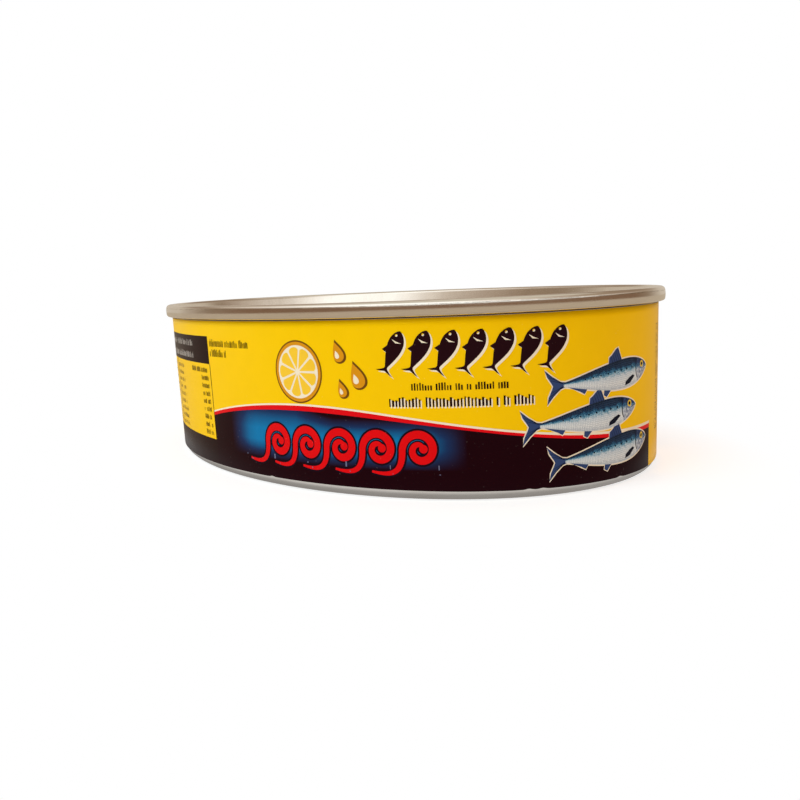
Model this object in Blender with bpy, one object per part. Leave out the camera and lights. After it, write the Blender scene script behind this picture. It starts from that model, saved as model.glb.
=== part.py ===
"""A shut oval fish tin of the one-pound size: drawn body, double-seamed lid and wrapped paper label.

Metres, +Z up. The tin stands on z = 0 with its long axis along X and its centre on the Z axis.
Every level of the tin is a parallel curve of one oval, the outside of the lid's seam. A piece is
described by its section: pairs of (inset, z), where the inset is how far the surface lies inside
that oval, measured square to it.
"""

import math

import bmesh
import bpy

MM = 0.001
SEGMENTS = 96

# The whole tin, over its seam
LENGTH = 163.5 * MM
WIDTH = 111.0 * MM
HEIGHT = 39.0 * MM

# The lid's double seam and its sunk panel
SEAM_HEIGHT = 3.1 * MM
SEAM_WIDTH = 2.3 * MM
SEAM_LOWER_RADIUS = 0.8 * MM
SEAM_OUTER_RADIUS = 1.0 * MM
SEAM_INNER_RADIUS = 0.7 * MM
SEAM_STEPS = 4
SINK_DEPTH = 4.0 * MM
SINK_LEAN = 0.9 * MM
SINK_RADIUS = 0.6 * MM
PANEL_THICKNESS = 0.8 * MM
BEAD_RISE = 0.5 * MM
BEAD_SLOPE = 1.0 * MM
OUTER_BEAD_INSET = 9.0 * MM
INNER_BEAD_INSET = 19.0 * MM
PANEL_CORE_INSET = 24.0 * MM

# The label, a paper band that stands clear of the wall and of the seam
LABEL_INSET = 1.55 * MM
LABEL_THICKNESS = 0.2 * MM
LABEL_BOTTOM = 2.0 * MM
CLEARANCE = 0.3 * MM

# The drawn body, narrower at its foot so that tins stack
WALL_INSET = LABEL_INSET + LABEL_THICKNESS + CLEARANCE
WALL_TAPER = 0.8 * MM
WALL_THICKNESS = 0.45 * MM
CORNER_RADIUS = 1.8 * MM
CORNER_STEPS = 5
FOOT_WIDTH = 4.0 * MM
BASE_RISE = 1.4 * MM
BASE_SLOPE = 1.6 * MM
BASE_CORE_INSET = 24.0 * MM

SHARP_ANGLE = math.radians(35.0)


def oval_point(turn, inset):
    """A point of the parallel curve that lies the inset inside the tin's outer oval."""
    half_length, half_width = LENGTH / 2, WIDTH / 2
    cosine, sine = math.cos(turn), math.sin(turn)
    normal_x, normal_y = cosine / half_length, sine / half_width
    size = math.hypot(normal_x, normal_y)
    return (half_length * cosine - inset * normal_x / size,
            half_width * sine - inset * normal_y / size)


def arc(centre_inset, centre_z, radius, start, end, steps):
    """Section points along a round corner, from one angle to another in degrees.

    Angles are measured in the section as it is drawn with the outside to the right.
    """
    points = []
    for step in range(steps + 1):
        angle = math.radians(start + (end - start) * step / steps)
        points.append((centre_inset - radius * math.cos(angle),
                       centre_z + radius * math.sin(angle)))
    return points


def oval_solid(name, section, material, ring_shaped=False):
    """A closed solid that carries the section round the oval.

    The section's two ends are closed with flat faces, or joined to each other for a ring.
    """
    mesh_edit = bmesh.new()
    levels = []
    for inset, z in section:
        level = []
        for segment in range(SEGMENTS):
            x, y = oval_point(2 * math.pi * segment / SEGMENTS, inset)
            level.append(mesh_edit.verts.new((x, y, z)))
        levels.append(level)
    pairs = list(zip(levels, levels[1:]))
    if ring_shaped:
        pairs.append((levels[-1], levels[0]))
    else:
        mesh_edit.faces.new(levels[0])
        mesh_edit.faces.new(levels[-1])
    for lower, upper in pairs:
        for segment in range(SEGMENTS):
            following = (segment + 1) % SEGMENTS
            mesh_edit.faces.new((lower[segment], lower[following], upper[following], upper[segment]))
    bmesh.ops.recalc_face_normals(mesh_edit, faces=mesh_edit.faces)
    mesh = bpy.data.meshes.new(name)
    mesh_edit.to_mesh(mesh)
    mesh_edit.free()
    mesh.shade_smooth()
    mesh.set_sharp_from_angle(angle=SHARP_ANGLE)
    mesh.materials.append(material)
    solid = bpy.data.objects.new(name, mesh)
    bpy.context.scene.collection.objects.link(solid)
    return solid


def plain_material(name, colour, roughness, metallic):
    """One even finish."""
    material = bpy.data.materials.new(name)
    material.use_nodes = True
    shader = material.node_tree.nodes["Principled BSDF"]
    shader.inputs["Base Color"].default_value = (*colour, 1.0)
    shader.inputs["Roughness"].default_value = roughness
    shader.inputs["Metallic"].default_value = metallic
    return material


def seam_foot():
    """Height of the lower edge of the lid's seam."""
    return HEIGHT - SEAM_HEIGHT


def wall_lean(z):
    """How much further in the wall lies at this height than at the seam."""
    return WALL_TAPER * (1 - z / seam_foot())


def make_body(material):
    """The drawn body: stepped base, round bottom corner, leaning wall and a pocket for the lid.

    The tin is shut, so the body is solid up to the underside of the lid.
    """
    foot_inset = WALL_INSET + wall_lean(CORNER_RADIUS)
    foot_edge = foot_inset + CORNER_RADIUS
    base_edge = foot_edge + FOOT_WIDTH
    wall_top = seam_foot() - CLEARANCE
    pocket_inset = WALL_INSET + WALL_THICKNESS
    pocket_floor = HEIGHT - SINK_DEPTH - PANEL_THICKNESS - CLEARANCE
    section = [(BASE_CORE_INSET, BASE_RISE),
               (base_edge + BASE_SLOPE, BASE_RISE),
               (base_edge, 0.0)]
    section += arc(foot_edge, CORNER_RADIUS, CORNER_RADIUS, -90, 0, CORNER_STEPS)
    section += [(WALL_INSET, wall_top),
                (pocket_inset, wall_top),
                (pocket_inset, pocket_floor)]
    return oval_solid("body", section, material)


def make_lid(material):
    """The lid: a sunk panel with two raised steps, its chuck wall, and the seam rolled over the body."""
    panel_top = HEIGHT - SINK_DEPTH
    panel_under = panel_top - PANEL_THICKNESS
    plug_inset = WALL_INSET + WALL_THICKNESS + CLEARANCE
    sink_inset = SEAM_WIDTH + SINK_LEAN
    section = [(plug_inset, panel_under),
               (plug_inset, seam_foot())]
    section += arc(SEAM_LOWER_RADIUS, seam_foot() + SEAM_LOWER_RADIUS, SEAM_LOWER_RADIUS,
                   -90, 0, SEAM_STEPS)
    section += arc(SEAM_OUTER_RADIUS, HEIGHT - SEAM_OUTER_RADIUS, SEAM_OUTER_RADIUS,
                   0, 90, SEAM_STEPS)
    section += arc(SEAM_WIDTH - SEAM_INNER_RADIUS, HEIGHT - SEAM_INNER_RADIUS, SEAM_INNER_RADIUS,
                   90, 180, SEAM_STEPS)
    section += arc(sink_inset + SINK_RADIUS, panel_top + SINK_RADIUS, SINK_RADIUS,
                   0, -90, SEAM_STEPS)
    section += [(OUTER_BEAD_INSET, panel_top),
                (OUTER_BEAD_INSET + BEAD_SLOPE, panel_top + BEAD_RISE),
                (INNER_BEAD_INSET, panel_top + BEAD_RISE),
                (INNER_BEAD_INSET + BEAD_SLOPE, panel_top + 2 * BEAD_RISE),
                (PANEL_CORE_INSET, panel_top + 2 * BEAD_RISE)]
    return oval_solid("lid", section, material)


def make_label(material):
    """The paper label: a thin band round the wall, from just above the bottom corner to the seam."""
    top = seam_foot() - CLEARANCE
    outer_top = LABEL_INSET + wall_lean(top)
    outer_bottom = LABEL_INSET + wall_lean(LABEL_BOTTOM)
    section = [(outer_bottom, LABEL_BOTTOM),
               (outer_top, top),
               (outer_top + LABEL_THICKNESS, top),
               (outer_bottom + LABEL_THICKNESS, LABEL_BOTTOM)]
    return oval_solid("label", section, material, ring_shaped=True)


def make_tin():
    """Clear the scene and build the tin."""
    for old in list(bpy.data.objects):
        bpy.data.objects.remove(old, do_unlink=True)
    tinplate = plain_material("tinplate", (0.66, 0.62, 0.56), 0.30, 1.0)
    lid_plate = plain_material("lid_plate", (0.66, 0.61, 0.54), 0.26, 1.0)
    printed_paper = plain_material("printed_paper", (0.86, 0.53, 0.01), 0.32, 0.0)
    make_body(tinplate)
    make_lid(lid_plate)
    make_label(printed_paper)


make_tin()
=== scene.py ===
import math

import bpy
from mathutils import Matrix, Vector
from mathutils.geometry import delaunay_2d_cdt


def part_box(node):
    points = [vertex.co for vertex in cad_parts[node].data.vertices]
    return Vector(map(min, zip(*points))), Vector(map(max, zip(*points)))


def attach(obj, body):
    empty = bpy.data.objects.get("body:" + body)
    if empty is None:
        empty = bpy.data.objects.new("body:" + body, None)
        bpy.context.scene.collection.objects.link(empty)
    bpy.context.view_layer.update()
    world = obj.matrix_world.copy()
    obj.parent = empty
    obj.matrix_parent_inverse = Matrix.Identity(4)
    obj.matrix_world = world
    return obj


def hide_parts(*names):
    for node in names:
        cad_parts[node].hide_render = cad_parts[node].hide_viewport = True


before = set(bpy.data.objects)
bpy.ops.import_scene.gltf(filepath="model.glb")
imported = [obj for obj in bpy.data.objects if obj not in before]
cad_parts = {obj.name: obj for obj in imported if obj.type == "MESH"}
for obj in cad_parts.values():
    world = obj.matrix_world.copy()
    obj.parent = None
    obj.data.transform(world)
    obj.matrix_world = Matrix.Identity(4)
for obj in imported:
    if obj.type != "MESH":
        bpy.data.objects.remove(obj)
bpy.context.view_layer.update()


# The drawn body
# One cup pressed from thin tinplate: a stepped base, a round bottom corner and a wall that
# leans in towards the foot. Of it only the bottom corner shows, as a bright line under the paper.
MM = 0.001
tin_low, tin_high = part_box("lid")
paper_low, paper_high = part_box("label")
TIN_LENGTH = (tin_high.x - tin_low.x) / MM
TIN_WIDTH = (tin_high.y - tin_low.y) / MM
TIN_HEIGHT = tin_high.z / MM
PAPER_INSET = (TIN_LENGTH - (paper_high.x - paper_low.x) / MM) / 2
PAPER_TOP = paper_high.z / MM
SEAM_HEIGHT = 3.1
SEAM_FOOT = TIN_HEIGHT - SEAM_HEIGHT
WALL_TAPER = 0.8
PAPER_STAND = 0.22
LEDGE = 0.5
POCKET_FLOOR = SEAM_FOOT - 2.1
ROUND_STEPS = 336
ROUND_PER_LENGTH = 2.6
CLOSING_GAP = 0.000004
BASE_CORE = 24.0
BASE_RISE = 1.4
BASE_STEP = 0.5
STAIN = 0.25


def lean(height):
    """How much further in the wall lies at this height than at the seam, in millimetres."""
    return WALL_TAPER * (1 - height / SEAM_FOOT)


def rounded(corners, steps=7):
    """Section points, in millimetres, through corners of (inset, height, fillet radius).

    Each fillet has a support point a little way out on both sides, so that the flat
    stretches between corners stay flat when the piece is shaded smooth.
    """
    points = [Vector(corners[0][:2])]
    for before, corner, after in zip(corners, corners[1:], corners[2:]):
        here = Vector(corner[:2])
        back, ahead = Vector(before[:2]) - here, Vector(after[:2]) - here
        half_angle = back.angle(ahead) / 2
        reach = min(corner[2] / math.tan(half_angle), back.length * 0.48, ahead.length * 0.48)
        radius = reach * math.tan(half_angle)
        stretch = 1.0 + 0.3 * radius / max(reach, 1e-6)
        inner_way = (back.normalized() + ahead.normalized()).normalized()
        centre = here + inner_way * (radius / math.sin(half_angle))
        start = here + back.normalized() * reach - centre
        turn = (math.pi - 2 * half_angle) * (1 if start.cross(ahead) > 0 else -1)
        points.append(here + back.normalized() * reach * min(stretch, 0.52 * back.length / reach))
        for step in range(steps + 1):
            share = turn * step / steps
            points.append(centre + Vector((start.x * math.cos(share) - start.y * math.sin(share),
                                           start.x * math.sin(share) + start.y * math.cos(share))))
        points.append(here + ahead.normalized() * reach * min(stretch, 0.52 * ahead.length / reach))
    points.append(Vector(corners[-1][:2]))
    return points


class Value:
    """What comes out of a socket. Plain arithmetic on it makes Math nodes."""

    def __init__(self, tree, source):
        self.tree = tree
        self.source = source

    def __add__(self, other):
        return calc("ADD", self, other)

    def __radd__(self, other):
        return calc("ADD", other, self)

    def __sub__(self, other):
        return calc("SUBTRACT", self, other)

    def __rsub__(self, other):
        return calc("SUBTRACT", other, self)

    def __mul__(self, other):
        return calc("MULTIPLY", self, other)

    def __truediv__(self, other):
        return calc("DIVIDE", self, other)

    def __rtruediv__(self, other):
        return calc("DIVIDE", other, self)


def add(tree, kind, values=None, **settings):
    """One node, with its settings, and its sockets filled by numbers or by links."""
    made = tree.nodes.new(kind)
    for key, setting in settings.items():
        setattr(made, key, setting)
    for key, value in (values or {}).items():
        if isinstance(value, Value):
            tree.links.new(value.source, made.inputs[key])
        else:
            made.inputs[key].default_value = value
    return made


def result(tree, kind, values=None, output=0, **settings):
    """What one output of a new node gives."""
    return Value(tree, add(tree, kind, values, **settings).outputs[output])


def calc(operation, *terms):
    """One Math node on values or numbers."""
    tree = next(term.tree for term in terms if isinstance(term, Value))
    return result(tree, "ShaderNodeMath", dict(enumerate(terms)), operation=operation)


def join_xyz(x, y, z):
    """A vector from three values or numbers, the first of them a value."""
    return result(x.tree, "ShaderNodeCombineXYZ", {0: x, 1: y, 2: z})


def split_xyz(vector):
    """The three parts of a vector."""
    parts = add(vector.tree, "ShaderNodeSeparateXYZ", {0: vector}).outputs
    return [Value(vector.tree, part) for part in parts]


def noise(vector, scale, detail=3.0, roughness=0.5):
    """Noise on a vector."""
    return result(vector.tree, "ShaderNodeTexNoise",
                  {"Vector": vector, "Scale": scale, "Detail": detail, "Roughness": roughness})


def new_tree(kind, name, inputs, outputs):
    """An empty node tree with named sockets, and the values that come in through them.

    An input is given by its usual value, or by the word for its kind where it has none.
    """
    tree = bpy.data.node_groups.new(name, kind)
    for label, usual in inputs.items():
        word = usual if isinstance(usual, str) else {float: "Float", int: "Int", tuple: "Color"}[type(usual)]
        made = tree.interface.new_socket(label, in_out="INPUT", socket_type="NodeSocket" + word)
        if word != usual:
            made.default_value = usual
    for label, word in outputs.items():
        tree.interface.new_socket(label, in_out="OUTPUT", socket_type="NodeSocket" + word)
    entry = add(tree, "NodeGroupInput")
    return tree, {label: Value(tree, entry.outputs[label]) for label in inputs}


def oval_point(turn, inset, length, width):
    """Values of x and y on the parallel curve that lies the inset inside the tin's oval."""
    half_length, half_width = length / 2.0, width / 2.0
    cosine, sine = calc("COSINE", turn), calc("SINE", turn)
    normal_x, normal_y = cosine / half_length, sine / half_width
    step = inset / calc("SQRT", normal_x * normal_x + normal_y * normal_y)
    return half_length * cosine - step * normal_x, half_width * sine - step * normal_y


def pressed_round_oval():
    """A tree that carries its own points, read as a section, round the oval of the tin.

    A section point is (inset, pull towards the middle from 0 to 1, height) in metres.
    """
    tree, given = new_tree("GeometryNodeTree", "pressed round oval",
                           {"Geometry": "Geometry", "Length": 0.16, "Width": 0.11, "Round Steps": 96,
                            "Unevenness": 0.0, "Material": "Material"}, {"Geometry": "Geometry"})
    levels = result(tree, "GeometryNodeAttributeDomainSize", {0: given["Geometry"]}, "Point Count")
    grid = result(tree, "GeometryNodeMeshGrid",
                  {"Vertices X": given["Round Steps"] + 1.0, "Vertices Y": levels})
    index = result(tree, "GeometryNodeInputIndex")
    column = calc("FLOOR", (index + 0.5) / levels)
    point = result(tree, "GeometryNodeSampleIndex",
                   {"Geometry": given["Geometry"], "Index": index - column * levels,
                    "Value": result(tree, "GeometryNodeInputPosition")}, data_type="FLOAT_VECTOR")
    inset, pull, height = split_xyz(point)
    share = column / given["Round Steps"]
    turn = share * (2 * math.pi) + math.pi / 2
    rim_x, rim_y = oval_point(turn, 0.0, given["Length"], given["Width"])
    ripple = (noise(join_xyz(rim_x, rim_y, height), 55.0, 2.0) - 0.5) * given["Unevenness"]
    x, y = oval_point(turn, inset + calc("ABSOLUTE", ripple), given["Length"], given["Width"])
    kept = 1.0 - pull
    place = join_xyz(x * kept, y * kept, height)
    drawn_way = join_xyz(share * (given["Length"] * ROUND_PER_LENGTH), height - inset, 0.0)
    mapped = result(tree, "GeometryNodeStoreNamedAttribute",
                    {"Geometry": grid, "Name": "Drawn", "Value": drawn_way},
                    data_type="FLOAT2", domain="CORNER")
    shaped = result(tree, "GeometryNodeSetPosition", {"Geometry": mapped, "Position": place})
    closed = result(tree, "GeometryNodeMergeByDistance", {"Geometry": shaped, "Distance": CLOSING_GAP})
    smooth = result(tree, "GeometryNodeSetShadeSmooth", {"Geometry": closed, "Shade Smooth": True})
    whole = result(tree, "GeometryNodeRealizeInstances", {"Geometry": smooth})
    painted = result(tree, "GeometryNodeSetMaterial", {"Geometry": whole, "Material": given["Material"]})
    add(tree, "NodeGroupOutput", {"Geometry": painted})
    return tree


def tree_on(piece, tree, values):
    """Put a tree on a piece and set its named inputs."""
    modifier = piece.modifiers.new(tree.name, "NODES")
    modifier.node_group = tree
    for name, value in values.items():
        modifier[tree.interface.items_tree[name].identifier] = value


def plain_mesh(piece):
    """Turn what the piece's modifiers make into its own plain mesh."""
    bpy.context.view_layer.update()
    evaluated = piece.evaluated_get(bpy.context.evaluated_depsgraph_get())
    made = bpy.data.meshes.new_from_object(evaluated)
    piece.modifiers.clear()
    piece.data = made


def piece_of(name, points, faces=()):
    """A new piece in the scene from points in metres."""
    mesh = bpy.data.meshes.new(name)
    mesh.from_pydata(points, [], faces)
    piece = bpy.data.objects.new(name, mesh)
    bpy.context.scene.collection.objects.link(piece)
    return piece


def facing_out(piece):
    """Turn a closed piece's faces over if its volume comes out negative."""
    mesh = piece.data
    corners = [vertex.co for vertex in mesh.vertices]
    volume = sum(corners[a].dot(corners[b].cross(corners[c]))
                 for a, b, c in (face.vertices[:3] for face in mesh.polygons))
    if volume < 0:
        mesh.flip_normals()


def pressed_piece(name, section, unevenness, material):
    """A closed pressed piece from section points in millimetres, with flats that reach the middle."""
    first_height, last_height = section[0].y, section[-1].y
    pulls = (1.0, 0.5, 0.1)
    points = ([(BASE_CORE, pull, first_height) for pull in pulls]
              + [(point.x, 0.0, point.y) for point in section]
              + [(BASE_CORE, pull, last_height) for pull in reversed(pulls)])
    piece = piece_of(name, [(inset * MM, pull, height * MM) for inset, pull, height in points])
    tree_on(piece, oval_tree, {"Length": TIN_LENGTH * MM, "Width": TIN_WIDTH * MM,
                               "Round Steps": ROUND_STEPS, "Unevenness": unevenness * MM,
                               "Material": material})
    plain_mesh(piece)
    facing_out(piece)
    return piece


def ramp(factor, *stops):
    """A colour ramp through stops of (position, colour), or of (position, grey)."""
    made = add(factor.tree, "ShaderNodeValToRGB", {0: factor})
    elements = made.color_ramp.elements
    while len(elements) < len(stops):
        elements.new(0.5)
    for element, (position, colour) in zip(elements, stops):
        element.position = position
        element.color = (*colour, 1.0) if isinstance(colour, tuple) else (colour, colour, colour, 1.0)
    return Value(factor.tree, made.outputs[0])


def mixed(factor, first, second):
    """A mix of two colours by a factor."""
    return result(factor.tree, "ShaderNodeMix", {0: factor, 6: first, 7: second}, 2, data_type="RGBA")


def stretched(vector, scale, rotation=(0.0, 0.0, 0.0)):
    """A pattern's vector, turned and then scaled."""
    return result(vector.tree, "ShaderNodeMapping", {"Vector": vector, "Scale": scale, "Rotation": rotation})


def toned(colour, value):
    """A colour, made darker or lighter by a value round 1."""
    return result(value.tree, "ShaderNodeHueSaturation", {"Color": colour, "Value": value})


def drawn_plate_effect():
    """Pressed tinplate: marks drawn along walls, a rolled grain on flats, bloom and scratches."""
    group, given = new_tree("ShaderNodeTree", "drawn plate",
                            {"Clean": (0.7, 0.66, 0.6, 1.0), "Stained": (0.4, 0.3, 0.2, 1.0),
                             "Stain": 0.3, "Gloss": 0.2},
                            {"Colour": "Color", "Roughness": "Float", "Height": "Float"})
    along = result(group, "ShaderNodeUVMap", uv_map="Drawn")
    space = result(group, "ShaderNodeTexCoord", output="Object")
    facing_up = split_xyz(result(group, "ShaderNodeNewGeometry", output="Normal"))[2]
    flat = ramp(calc("ABSOLUTE", facing_up), (0.90, 0.0), (0.98, 1.0))
    streaks = noise(stretched(along, (30.0, 2400.0, 1.0)), 1.0, 2.0)
    rolled_grain = noise(stretched(space, (45.0, 2600.0, 45.0)), 1.0)
    drag = mixed(flat, streaks, rolled_grain)
    cloud = noise(space, 90.0)
    bloom = ramp(noise(space, 38.0, roughness=0.55), (0.45, 0.0), (0.72, 1.0))
    scratch_field = stretched(space, (90.0, 1900.0, 90.0), (0.4, 0.3, 0.6))
    scratches = ramp(noise(scratch_field, 1.0, 1.0), (0.70, 0.0), (0.80, 1.0))
    colour = mixed(bloom * given["Stain"], given["Clean"], given["Stained"])
    add(group, "NodeGroupOutput", {"Colour": toned(colour, drag * 0.14 + 0.93),
                                   "Roughness": given["Gloss"] + cloud * 0.12 + scratches * 0.04,
                                   "Height": drag * 0.12 + scratches * -0.05 + cloud})
    return group


def finished_material(name, group, values, relief):
    """A material that takes its colour, roughness and relief in millimetres from an effect."""
    material = bpy.data.materials.new(name)
    material.use_nodes = True
    tree = material.node_tree
    shader = tree.nodes["Principled BSDF"]
    finish = add(tree, "ShaderNodeGroup", node_tree=group, name="Finish")
    for label, value in values.items():
        finish.inputs[label].default_value = value
    bump = add(tree, "ShaderNodeBump", {"Height": Value(tree, finish.outputs["Height"]),
                                        "Distance": relief * MM, "Strength": 1.0})
    tree.links.new(finish.outputs["Colour"], shader.inputs["Base Color"])
    tree.links.new(finish.outputs["Roughness"], shader.inputs["Roughness"])
    tree.links.new(bump.outputs[0], shader.inputs["Normal"])
    return material, shader


def plate_material(name, clean, stained, gloss, relief):
    """A tinplate finish with its own tone, stains and gloss."""
    values = {"Clean": (*clean, 1.0), "Stained": (*stained, 1.0), "Stain": STAIN, "Gloss": gloss}
    material, shader = finished_material(name, plate_effect, values, relief)
    shader.inputs["Metallic"].default_value = 1.0
    return material


def finish_piece(piece, slot, *nodes):
    """Let a finished piece ride on the tin and stand it for CAD nodes. The slot, a name for its finish, is
    not used.
    """
    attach(piece, "root")
    if nodes:
        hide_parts(*nodes)


oval_tree = pressed_round_oval()
plate_effect = drawn_plate_effect()
wall_inset = PAPER_INSET + PAPER_STAND
body_steel = plate_material("drawn_tinplate", clean=(0.78, 0.765, 0.74), stained=(0.60, 0.55, 0.48),
                            gloss=0.14, relief=0.008)
body_section = rounded([(BASE_CORE, BASE_RISE + BASE_STEP, 0), (20.5, BASE_RISE + BASE_STEP, 0.8),
                        (19.5, BASE_RISE, 0.8), (10.6, BASE_RISE, 0.8), (8.6, 0.0, 1.2),
                        (wall_inset + lean(0), 0.0, 1.75), (wall_inset, SEAM_FOOT - 0.1, 0.1),
                        (wall_inset + LEDGE, SEAM_FOOT - 0.1, 0.1), (wall_inset + LEDGE, POCKET_FLOOR, 0.2),
                        (BASE_CORE, POCKET_FLOOR, 0)])
can_body = pressed_piece("can_body", body_section, unevenness=0.05, material=body_steel)
finish_piece(can_body, "tinplate", "body")


# The seamed lid
# A second pressing of the same plate, rolled over the body's flange in a double seam that stands
# up as the rim. Inside it the chuck wall drops to a sunk panel with two raised oval steps.
SEAM_WIDTH = 2.3
SINK_DEPTH = 4.0
SINK_INSET = SEAM_WIDTH + 0.9
PANEL = TIN_HEIGHT - SINK_DEPTH
PANEL_UNDER = PANEL - 0.8
PLUG_INSET = wall_inset + 1.0
STEP_RISE = 0.5

lid_steel = plate_material("seamed_lid_plate", clean=(0.78, 0.73, 0.66), stained=(0.52, 0.43, 0.33),
                           gloss=0.09, relief=0.006)
lid_section = rounded([(BASE_CORE, PANEL_UNDER, 0), (PLUG_INSET, PANEL_UNDER, 0.3),
                       (PLUG_INSET, SEAM_FOOT + 0.5, 0.1), (1.6, SEAM_FOOT + 0.12, 0.4),
                       (0.16, SEAM_FOOT, 0.55), (0.0, SEAM_FOOT + 1.5, 5.0), (0.22, TIN_HEIGHT, 0.95),
                       (SEAM_WIDTH - 0.1, TIN_HEIGHT, 0.8), (SINK_INSET, PANEL, 0.7), (9.0, PANEL, 1.0),
                       (10.0, PANEL + STEP_RISE, 1.0), (19.0, PANEL + STEP_RISE, 1.0),
                       (20.0, PANEL + 2 * STEP_RISE, 1.0), (BASE_CORE, PANEL + 2 * STEP_RISE, 0)])
seamed_lid = pressed_piece("seamed_lid", lid_section, unevenness=0.09, material=lid_steel)
finish_piece(seamed_lid, "lid_plate", "lid")


# The paper label
# One strip of varnished paper, wound round the wall and glued over its own end just past one
# printed front. Its upper edge is tucked up to the seam, and its lower edge runs a little unevenly.
PAPER_BOTTOM = 1.74
PAPER_THICKNESS = 0.09
EDGE_WAVE = 0.3
EDGE_CREST = 50.0
EDGE_NICK = 0.2
NICK_WIDTH = 0.7
EDGE_NICKS = (93.0, 90.2, 31.0, 112.0, 196.0)
LAP_START = 140.0
LAP = 8.0
LAP_LIFT = 0.1
LAP_EASE = 3.0
STRIP_ROWS = 24
CREASE_PLACE = 86.5
CREASE_WIDTH = 1.3
CREASE_RISE = 0.05
SLACKNESS = 0.16
SHORT_WAVES = 0.28
RING_STEPS = 1440
YELLOW = (247, 197, 0)


def round_length(inset):
    """How long the parallel curve at this inset is, in millimetres."""
    half_length, half_width = TIN_LENGTH / 2, TIN_WIDTH / 2
    points = []
    for step in range(RING_STEPS):
        turn = 2 * math.pi * step / RING_STEPS
        cosine, sine = math.cos(turn), math.sin(turn)
        normal = Vector((cosine / half_length, sine / half_width)).normalized()
        points.append(Vector((half_length * cosine, half_width * sine)) - normal * inset)
    return sum((a - b).length for a, b in zip(points, points[1:] + points[:1]))


HALF_ROUND = round_length(PAPER_INSET) / 2


def lower_edge(along):
    """Height of the paper's lower edge at this place along the label."""
    wave = EDGE_WAVE * math.cos(2 * math.pi / HALF_ROUND * (along - EDGE_CREST))
    place = (along + HALF_ROUND) % HALF_ROUND
    nicks = sum(math.exp(-((place - nick) / NICK_WIDTH) ** 2) for nick in EDGE_NICKS)
    return PAPER_BOTTOM + wave + EDGE_NICK * nicks


def eased(place, start, end):
    """A share that runs smoothly from 0 at the start to 1 at the end."""
    share = min(1.0, max(0.0, (place - start) / (end - start)))
    return share * share * (3 - 2 * share)


def wound_on_wall():
    """A tree that lays flat print on the tin: x runs along the label, y up it, z off it.

    The flat piece is repeated evenly round the tin, as the printed panel is on the real strip.
    """
    tree, given = new_tree("GeometryNodeTree", "wound on wall",
                           {"Geometry": "Geometry", "Length": 0.16, "Width": 0.11, "Inset": 0.0015,
                            "Taper": 0.0008, "Seam Foot": 0.036, "Lift": 0.0, "Slackness": 0.0,
                            "Crease Place": 0.0, "Crease": 0.0, "Repeats": 1, "Material": "Material"},
                           {"Geometry": "Geometry"})
    ring = result(tree, "GeometryNodeCurvePrimitiveCircle", {"Resolution": RING_STEPS}, mode="RADIUS")
    turn = result(tree, "GeometryNodeInputIndex") * (2 * math.pi / RING_STEPS)
    ring_x, ring_y = oval_point(turn, given["Inset"], given["Length"], given["Width"])
    oval = result(tree, "GeometryNodeSetPosition",
                  {"Geometry": ring, "Position": join_xyz(ring_x, ring_y, 0.0)})
    whole = result(tree, "GeometryNodeCurveLength", {0: oval})
    spacing = join_xyz(whole / given["Repeats"], 0.0, 0.0)
    places = result(tree, "GeometryNodeMeshLine",
                    {"Count": given["Repeats"], "Offset": spacing}, mode="OFFSET")
    repeated = result(tree, "GeometryNodeInstanceOnPoints",
                      {"Points": places, "Instance": given["Geometry"]})
    flat = result(tree, "GeometryNodeRealizeInstances", {"Geometry": repeated})
    along, height, stand = split_xyz(result(tree, "GeometryNodeInputPosition"))
    wrapped = calc("WRAP", along + whole * 0.75, whole, 0.0)
    sample = add(tree, "GeometryNodeSampleCurve", {"Curves": oval, "Length": wrapped},
                 mode="LENGTH", use_all_curves=True)
    wall_x, wall_y, _ = split_xyz(Value(tree, sample.outputs["Position"]))
    tangent_x, tangent_y, _ = split_xyz(Value(tree, sample.outputs["Tangent"]))
    spot = join_xyz(wall_x, wall_y, height)
    waves = noise(spot, 22.0, 1.0) + noise(spot, 95.0, 1.0) * SHORT_WAVES
    slack = (waves - (1 + SHORT_WAVES) / 2) * given["Slackness"]
    off_crease = (along - given["Crease Place"]) / (CREASE_WIDTH * MM)
    ridge = calc("EXPONENT", off_crease * off_crease * -1.0)
    inward = given["Taper"] * (1.0 - height / given["Seam Foot"])
    out = (given["Lift"] - inward) + (stand + (slack + ridge * given["Crease"]))
    place = join_xyz(wall_x + tangent_y * out, wall_y - tangent_x * out, height)
    laid = result(tree, "GeometryNodeSetPosition", {"Geometry": flat, "Position": place})
    smooth = result(tree, "GeometryNodeSetShadeSmooth", {"Geometry": laid, "Shade Smooth": True})
    painted = result(tree, "GeometryNodeSetMaterial", {"Geometry": smooth, "Material": given["Material"]})
    add(tree, "NodeGroupOutput", {"Geometry": painted})
    return tree


def linear(*colour):
    """Linear values of a colour given as it looks on a screen, from 0 to 255."""
    return tuple(part / 255 / 12.92 if part <= 10 else ((part / 255 + 0.055) / 1.055) ** 2.4
                 for part in colour)


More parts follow.
